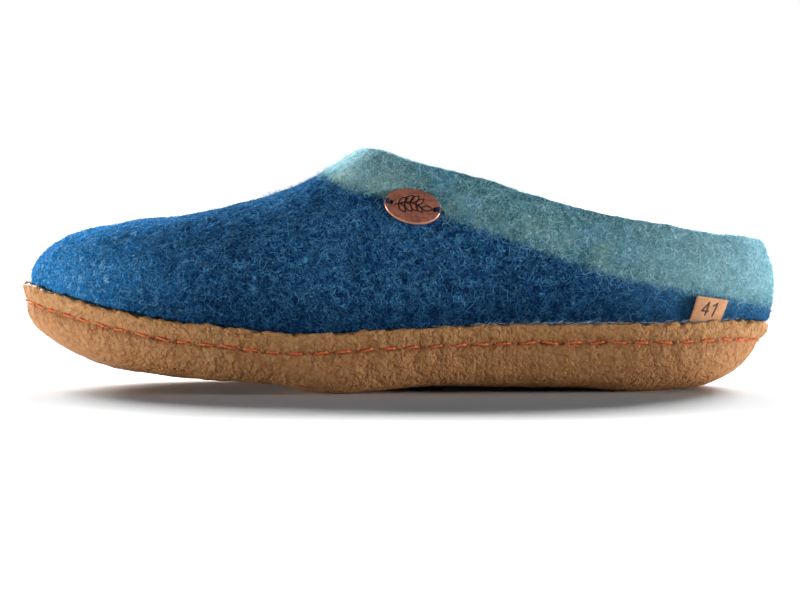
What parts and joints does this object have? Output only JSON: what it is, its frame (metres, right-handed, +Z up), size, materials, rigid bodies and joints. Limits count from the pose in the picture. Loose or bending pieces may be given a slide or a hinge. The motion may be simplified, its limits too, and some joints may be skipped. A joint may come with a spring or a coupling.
{
  "type": "felt slipper",
  "caption": "Slip-on felt house slipper with an open heel collar, set in a rounded crepe rubber cup sole with an arch and a toe spring.",
  "frame": {"origin": "on the floor, under the middle of the slipper's box", "axes": "+X from toe to heel, +Y to the inner side of the foot, +Z up"},
  "size_m": [0.2824, 0.1036, 0.0897],
  "materials": {
    "wool_felt": "fuzzy blue wool felt with a turquoise band along the collar",
    "crepe_rubber": "grainy natural crepe rubber",
    "insole_felt": "soft wool felt",
    "copper": "worn satin copper",
    "tab_leather": "smooth vegetable-tanned leather"
  },
  "bodies": {
    "root": {"upper": "wool_felt", "outsole": "crepe_rubber", "insole": "insole_felt", "badge": "copper", "size_tab": "tab_leather"}
  },
  "joints": []
}
